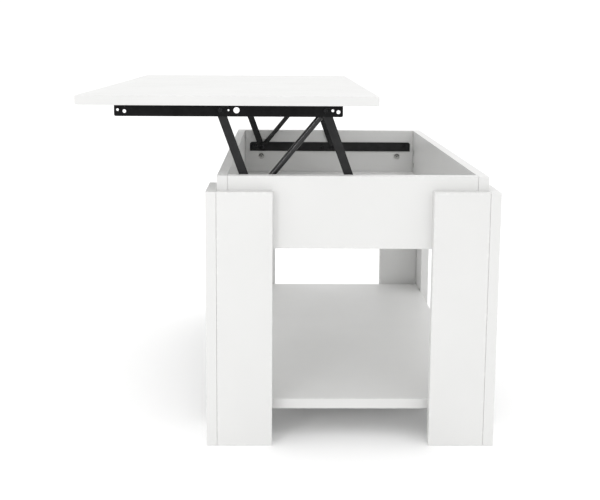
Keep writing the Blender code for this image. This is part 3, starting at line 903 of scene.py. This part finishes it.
class TABLE_OT_arms(bpy.types.Operator):
    """Make the four flat arms that carry the top"""

    bl_idname = "lift_table.arms"
    bl_label = "Arms"

    def execute(self, context):
        base, top = (Vector(JOINTS[name]["pos_m"]) for name in ("lift", "top_level"))
        length, lean = (top - base).length, atan2(top.x - base.x, top.z - base.z)
        ease = context.scene.table_sizes.steel_ease
        for end, _ in ENDS:
            for place, joint in (("front", "lift"), ("rear", "rear_lift")):
                node = f"{place}_arm_{end}"
                low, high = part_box(node)
                width = (high.x - low.x) - length * abs(sin(lean))
                outline = bar((0, 0), (0, length), width / 2)
                cuts = [hole((0, 0), PIVOT_HOLE), hole((0, length), PIVOT_HOLE)]
                skin = slab(outline, high.y - low.y, ease, STEEL_FADE, holes=cuts)
                foot = JOINTS[joint]["pos_m"]
                origin = (foot[0], (low.y + high.y) / 2, foot[2])
                skin.placed(upright_axes(lean), origin)
                add_piece(context, [node], skin, "arms")
        return {"FINISHED"}


def wall_end(low, high, sign):
    """The middle of the end that lies nearer the end wall."""
    return ((low.x + high.x) / 2, high.y if sign > 0 else low.y, (low.z + high.z) / 2)


def make_stop(context, node, sign):
    """A short pin with both ends eased, turned about its axis."""
    low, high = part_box(node)
    radius, length = (high.x - low.x) / 2, high.y - low.y
    corners = [(0, 0), (radius, 0), (radius, length), (0, length)]
    profile, looks = rounded(corners, (0.0004, 0.0005))
    wear = (profile[:, 1] > length * 0.8).astype(float)
    skin = turned(profile, looks, wear).placed(inward_axes(sign), wall_end(low, high, sign))
    add_piece(context, [node], skin, "rivets")


def make_rivet(context, node, sign):
    """A closed profile turned about its axis: dimpled tail, straight shank and domed, dimpled head."""
    low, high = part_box(node)
    head, length = (high.x - low.x) / 2, high.y - low.y
    shank, rise = 0.0035, 0.0015
    corners = [(0, 0.0002), (0.0012, 0.0002), (0.0016, 0), (shank, 0), (shank, length - rise)]
    corners += [(head, length - rise), (head, length - rise * 0.45), (head * 0.55, length), (0.0013, length)]
    corners += [(0.0009, length - 0.0003), (0, length - 0.0003)]
    radii = (0.0001, 0.0001, 0.0003, 0.0001, 0.0002, 0.0004, 0.0015, 0.0001, 0.0001)
    profile, looks = rounded(corners, radii)
    wear = np.exp(-np.abs(profile[:, 0] - head) / 0.0006) + 0.12 * (profile[:, 1] < 0.0004)
    skin = turned(profile, looks, wear, steps=40)
    skin.placed(inward_axes(sign), wall_end(low, high, sign))
    add_piece(context, [node], skin, "rivets")


class TABLE_OT_rivets(bpy.types.Operator):
    """Make the eight pivot rivets and the two stop pins"""

    bl_idname = "lift_table.rivets"
    bl_label = "Rivets and Stops"

    def execute(self, context):
        for end, sign in ENDS:
            for row in ("base", "top"):
                for place in ("front", "rear"):
                    make_rivet(context, f"pivot_{row}_{place}_{end}", sign)
            make_stop(context, f"stop_pin_{end}", sign)
        return {"FINISHED"}


def make_screw(context, node, length, axes, tip):
    """Rings from the crown to the tip. The head is a dome less a cross recess. The shank's radius rises and
    falls with height less the turn, which draws one helical thread."""
    head, rise, shank, pitch = 0.0035, 0.0018, 0.0016, 0.0012
    share = np.linspace(0.04, 1, 22)
    crown = np.sqrt(1 - (share * 0.96) ** 2.6)
    steps = 48
    angle = circle(steps)
    dome, around = np.meshgrid(share * head, angle, indexing="ij")
    height = length - rise * 0.72 * (1 - crown)[:, None]
    height = height - cross_recess(dome, around, 0.0021, 0.00052, 0.00115)
    under = length - rise
    rim = np.array([(head, under + 0.0002), (head - 0.0002, under), (shank, under)])
    rows = np.arange(under - 0.0002, 0.0021, -pitch / 6)
    phase = (rows[:, None] / pitch - around[0] / (2 * pi)) % 1.0
    ridge = np.clip(1 - np.abs(phase - 0.5) * 3.2, 0, 1)
    fade = soft_step(under - rows, 0.0025, 0.004)[:, None] * soft_step(rows, 0.0, 0.004)[:, None]
    thread = shank - 0.00042 * fade * (1 - ridge)
    point = np.array([(shank * 0.7, 0.0014), (shank * 0.35, 0.0006), (0.0002, 0.0)])
    radius = [dome, np.repeat(rim[:, :1], steps, 1), thread, np.repeat(point[:, :1], steps, 1)]
    radius = np.concatenate(radius)
    level = [height, np.repeat(rim[:, 1:], steps, 1), np.repeat(rows[:, None], steps, 1)]
    level = np.concatenate([*level, np.repeat(point[:, 1:], steps, 1)])
    # Paler marks round the cross recess, partly rubs and partly a painted glint; the head's rim is marked as
    # worn.
    wear = np.zeros_like(radius)
    wear[:22] = np.clip(cross_recess(dome, around, 0.0024, 0.0007, 1.0), 0, 1) * 0.8
    wear[20:23] = 0.7
    skin = polar(radius, level, wear).placed(axes, tip)
    add_piece(context, [node], skin, "rivets")


class TABLE_OT_screws(bpy.types.Operator):
    """Make the ten pan head screws with cross recesses and cut threads"""

    bl_idname = "lift_table.screws"
    bl_label = "Screws"

    def execute(self, context):
        for end, sign in ENDS:
            for spot in SPOTS:
                node = f"rail_screw_{end}_{spot}"
                low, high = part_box(node)
                tip = (centre(node).x, high.y if sign > 0 else low.y, centre(node).z)
                make_screw(context, node, high.y - low.y, inward_axes(sign), tip)
            for side, _ in SIDES:
                node = f"top_screw_{end}_{side}"
                low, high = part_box(node)
                down = np.array([[1, 0, 0], [0, -1, 0], [0, 0, -1]], float)
                make_screw(context, node, high.z - low.z, down, (centre(node).x, centre(node).y, high.z))
        return {"FINISHED"}


def strut_axes(sign):
    """(foot, length, axes) of the spring strut at an end, from the end wall's face: u across it, v along it
    to the top's rear pivot, w into the box."""
    foot, top = (Vector(JOINTS[name]["pos_m"]) for name in ("sleeve_swing", "spring_swing"))
    lean = atan2(top.x - foot.x, top.z - foot.z)
    along = np.array([sin(lean), 0, cos(lean)])
    inward = np.array([0, -sign, 0])
    across = np.cross(along, inward)
    wall = centre(f"box_end_panel_{'near' if sign < 0 else 'far'}").y
    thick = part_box("box_end_panel_near")[1].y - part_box("box_end_panel_near")[0].y
    place = np.array([foot.x, wall - sign * thick / 2, foot.z])
    return place, (top - foot).length, np.array([across, along, inward])


TONGUE, TONGUE_REACH = 0.003, 0.0062  # a tongue's thickness and half its width
# How far the tongues and hooks, and the struts' axes, lie into the box from an end wall
HOOK_DEPTH = 0.0051 + TONGUE / 2
STRUT_DEPTH = 0.0110


def tube_skin(mouth):
    """Sections along v: a flat oval at the tongue that swells with a smooth S into a round tube, runs to the
    mouth, turns over its rim and comes back inside the wall to a closed end."""
    outer, wall, steps = 0.0055, 0.0005, 40
    flat_u, flat_w = 0.0061, 0.00145  # the flat oval's half widths
    angle = circle(steps)
    out = np.concatenate([np.linspace(0.0125, 0.027, 16), np.linspace(0.03, mouth - wall / 2, 24)])
    turn = np.linspace(0, pi, 5)[1:-1]
    rim = mouth - wall / 2 + wall / 2 * np.sin(turn)
    back = np.linspace(mouth - wall / 2, 0.03, 16)
    v = np.concatenate([out, rim, back])
    swell = soft_step(v, 0.012, 0.026)
    inset = np.concatenate([np.zeros_like(out), wall / 2 * (1 - np.cos(turn)), np.full_like(back, wall)])
    half_u, half_w = ((flat + (outer - flat) * swell - inset)[:, None] for flat in (flat_u, flat_w))
    middle = (HOOK_DEPTH + (STRUT_DEPTH - HOOK_DEPTH) * swell)[:, None]
    points = (half_u * np.cos(angle), v[:, None], middle + half_w * np.sin(angle))
    points = np.stack(np.broadcast_arrays(*points), -1)
    skin = Skin()
    uv = np.stack(np.broadcast_arrays(angle / (2 * pi), v[:, None]), -1)
    rows = skin.add(points, grid_normals(points, -1), uv=uv)
    skin.grid(rows[::-1])
    skin.pole(rows[0], (0, v[0], middle[0, 0]), (0, -1, 0), first=False)
    skin.pole(rows[-1], (0, v[-1], middle[-1, 0]), (0, 1, 0), first=True)
    return skin


class TABLE_OT_sleeves(bpy.types.Operator):
    """Make the two spring sleeves: a plastic tube pressed flat into a tongue round the base pivot"""

    bl_idname = "lift_table.sleeves"
    bl_label = "Spring Sleeves"

    def execute(self, context):
        for end, sign in ENDS:
            node = f"spring_sleeve_{end}"
            place, length, axes = strut_axes(sign)
            outline = bar((0, 0), (0, 0.0145), TONGUE_REACH)
            blade = slab(outline, TONGUE, 0.0004, STEEL_FADE, holes=[hole((0, 0), PIVOT_HOLE)])
            blade.placed(axes, place + axes[2] * HOOK_DEPTH)
            add_piece(context, [node], blade, "arms", f"sleeve_tongue_{end}")
            tube = tube_skin(length - 0.0147).placed(axes, place)
            add_piece(context, [node], tube, "sleeves", f"sleeve_tube_{end}")
        return {"FINISHED"}


def spring_skin(length, pitch):
    """A round wire along a hook of 235 degrees, an eased lead and a helix. Its sections look away from the
    middle of the hook or helix."""
    hook, wire, coil = 0.00455, 0.00075, 0.00205
    start, stop = 0.015, length - 0.026
    turn = pi / 2 + radians(235) * (1 - np.linspace(0, 1, 40))
    zero = np.zeros_like(turn)
    bend = np.stack([hook * np.cos(turn), hook * np.sin(turn), zero + HOOK_DEPTH], 1)
    bend_out = np.stack([np.cos(turn), np.sin(turn), zero], 1)
    share = np.linspace(0, 1, 16)[1:-1]
    ease = soft_step(share, 0, 1)
    depth = HOOK_DEPTH + (STRUT_DEPTH - HOOK_DEPTH) * ease
    lead = np.stack([start * share, hook + (coil - hook) * ease, depth], 1)
    lead_out = np.tile([0.0, 1.0, 0.0], (len(share), 1))
    turns = int((stop - start) / pitch)
    angle = np.linspace(0, 2 * pi * turns, turns * 20 + 1)
    sideways, inward = np.cos(angle), np.sin(angle)
    gone = start + pitch * angle / (2 * pi)
    helix = np.stack([gone, coil * sideways, STRUT_DEPTH + coil * inward], 1)
    helix_out = np.stack([np.zeros_like(angle), sideways, inward], 1)
    out = np.concatenate([bend_out, lead_out, helix_out])
    return swept(np.concatenate([bend, lead, helix]), out, wire)


class TABLE_OT_springs(bpy.types.Operator):
    """Make the two tension springs, each a coil with a hook round the rear top pivot"""

    bl_idname = "lift_table.springs"
    bl_label = "Tension Springs"

    def execute(self, context):
        for end, sign in ENDS:
            node = f"tension_spring_{end}"
            place, length, axes = strut_axes(sign)
            # u runs from the top pivot to the base pivot, v across and w into the box
            across = np.cross(axes[2], -axes[1])
            skin = spring_skin(length, context.scene.table_sizes.coil_pitch)
            skin.placed(np.array([-axes[1], across, axes[2]]), place + axes[1] * length)
            add_piece(context, [node], skin, "wire")
        return {"FINISHED"}


def swept(path, out, radius, steps=8):
    """A round wire along a path. Each section lies between the outward direction, made square to the way
    along, and its cross product with that way. A low dome closes each end."""
    way = np.gradient(path, axis=0)
    way /= np.linalg.norm(way, axis=1, keepdims=True)
    out = out - (out * way).sum(1, keepdims=True) * way
    out /= np.linalg.norm(out, axis=1, keepdims=True)
    side = np.cross(way, out)
    angle = circle(steps)[:, None]
    looks = out[:, None] * np.cos(angle) + side[:, None] * np.sin(angle)
    gone = np.concatenate([[0], np.cumsum(np.linalg.norm(np.diff(path, axis=0), axis=1))])
    uv = np.stack(np.broadcast_arrays(angle[:, 0] / (2 * pi), gone[:, None]), -1)
    skin = Skin()
    rows = skin.add(path[:, None] + radius * looks, looks, uv=uv)
    skin.grid(rows[::-1])
    skin.pole(rows[0], path[0] - way[0] * radius * 0.3, -way[0], first=False)
    skin.pole(rows[-1], path[-1] + way[-1] * radius * 0.3, way[-1], first=True)
    return skin


FLOOR_REACH = 14.0
CAMERA_SHIFT = (0.012, -0.14)

# Name, place, aim, size, lean and power of each light. The strip leans as the struts do
LAMPS = (
    ("front_strip", (-1.52, -3.05, 1.42), (0.02, -0.38, 0.5), (0.09, 0.8), radians(-39), 11.0),
    ("left_fill", (-3.0, 0.3, 0.5), (0.0, 0.1, 0.4), (1.6, 0.8), 0.0, 5.0),
    ("right_fill", (3.0, 0.0, 0.7), (0.0, 0.1, 0.42), (1.6, 0.8), 0.0, 5.0),
)


def make_floor(context, stage):
    """A flat square grid well past the camera's view."""
    line = np.linspace(-FLOOR_REACH, FLOOR_REACH, 9)
    x, y = np.meshgrid(line, line, indexing="ij")
    skin = Skin()
    numbers = skin.add(np.stack([x, y, np.zeros_like(x)], -1), np.array([0.0, 0.0, 1.0]))
    skin.strip(numbers)
    obj = linked(context, "floor", skin.mesh("floor"))
    obj.data.materials.append(pale_floor(stage.floor_colour))


def make_sky(context, stage):
    """An even white room with a brighter ceiling: strength rises smoothly with the height looked at."""
    world = bpy.data.worlds.new("white_room")
    world.use_nodes = True
    nodes, links = world.node_tree.nodes, world.node_tree.links
    height = nodes.new("ShaderNodeSeparateXYZ")
    links.new(nodes.new("ShaderNodeTexCoord").outputs["Generated"], height.inputs["Vector"])
    rise = nodes.new("ShaderNodeMapRange")
    rise.interpolation_type = "SMOOTHSTEP"
    ends = {"From Min": 0.5, "From Max": 0.85, "To Min": stage.sky, "To Max": stage.ceiling}
    for name, value in ends.items():
        rise.inputs[name].default_value = value
    links.new(height.outputs["Z"], rise.inputs["Value"])
    links.new(rise.outputs["Result"], nodes["Background"].inputs["Strength"])
    nodes["Background"].inputs["Color"].default_value = (1, 1, 1, 1)
    context.scene.world = world


def make_lamps(context):
    for name, place, aim, size, lean, power in LAMPS:
        lamp = bpy.data.lights.new(name, "AREA")
        lamp.shape = "RECTANGLE"
        lamp.size, lamp.size_y = size
        lamp.energy = power
        obj = linked(context, name, lamp)
        obj.location = place
        towards = (Vector(aim) - Vector(place)).to_track_quat("-Z", "Y")
        obj.rotation_euler = (towards.to_matrix() @ Euler((0, 0, lean)).to_matrix()).to_euler()


def make_camera(context, stage):
    data = bpy.data.cameras.new("camera")
    data.lens = stage.lens
    data.shift_x, data.shift_y = CAMERA_SHIFT
    obj = linked(context, "camera", data)
    obj.location = stage.camera_place
    level = Euler((pi / 2 - stage.pitch, 0, -stage.turn)).to_matrix()
    obj.rotation_euler = (level @ Euler((0, 0, stage.roll)).to_matrix()).to_euler()
    context.scene.camera = obj


class TABLE_OT_stage(bpy.types.Operator):
    """Make the floor, the lights and the camera"""

    bl_idname = "lift_table.stage"
    bl_label = "Stage"

    def execute(self, context):
        stage = context.scene.table_stage
        make_floor(context, stage)
        make_sky(context, stage)
        make_lamps(context)
        make_camera(context, stage)
        context.scene.view_settings.view_transform = "Standard"
        return {"FINISHED"}


PIECES = (
    TABLE_OT_legs,
    TABLE_OT_storage_box,
    TABLE_OT_shelf,
    TABLE_OT_top,
    TABLE_OT_cam_locks,
    TABLE_OT_base_rails,
    TABLE_OT_top_rails,
    TABLE_OT_arms,
    TABLE_OT_rivets,
    TABLE_OT_screws,
    TABLE_OT_sleeves,
    TABLE_OT_springs,
    TABLE_OT_stage,
)


class TABLE_PT_panel(bpy.types.Panel):
    """Settings of the lift top table and a button for each group of pieces"""

    bl_idname = "TABLE_PT_panel"
    bl_label = "Lift Top Table"
    bl_space_type = "VIEW_3D"
    bl_region_type = "UI"
    bl_category = "Lift Table"

    def draw(self, context):
        column = self.layout.column()
        for group in GROUPS:
            settings = getattr(context.scene, GROUPS[group])
            for name in group.__annotations__:
                column.prop(settings, name)
        for piece in PIECES:
            column.operator(piece.bl_idname)


GROUPS = {TableSizes: "table_sizes", TableFinishes: "table_finishes", TableStage: "table_stage"}


def register():
    for group, name in GROUPS.items():
        bpy.utils.register_class(group)
        setattr(bpy.types.Scene, name, PointerProperty(type=group))
    for piece in (*PIECES, TABLE_PT_panel):
        bpy.utils.register_class(piece)


def unregister():
    for piece in (TABLE_PT_panel, *reversed(PIECES)):
        bpy.utils.unregister_class(piece)
    for group, name in GROUPS.items():
        delattr(bpy.types.Scene, name)
        bpy.utils.unregister_class(group)


def main():
    register()
    for piece in PIECES:
        getattr(bpy.ops.lift_table, piece.bl_idname.split(".")[1])()


if __name__ == "__main__":
    main()
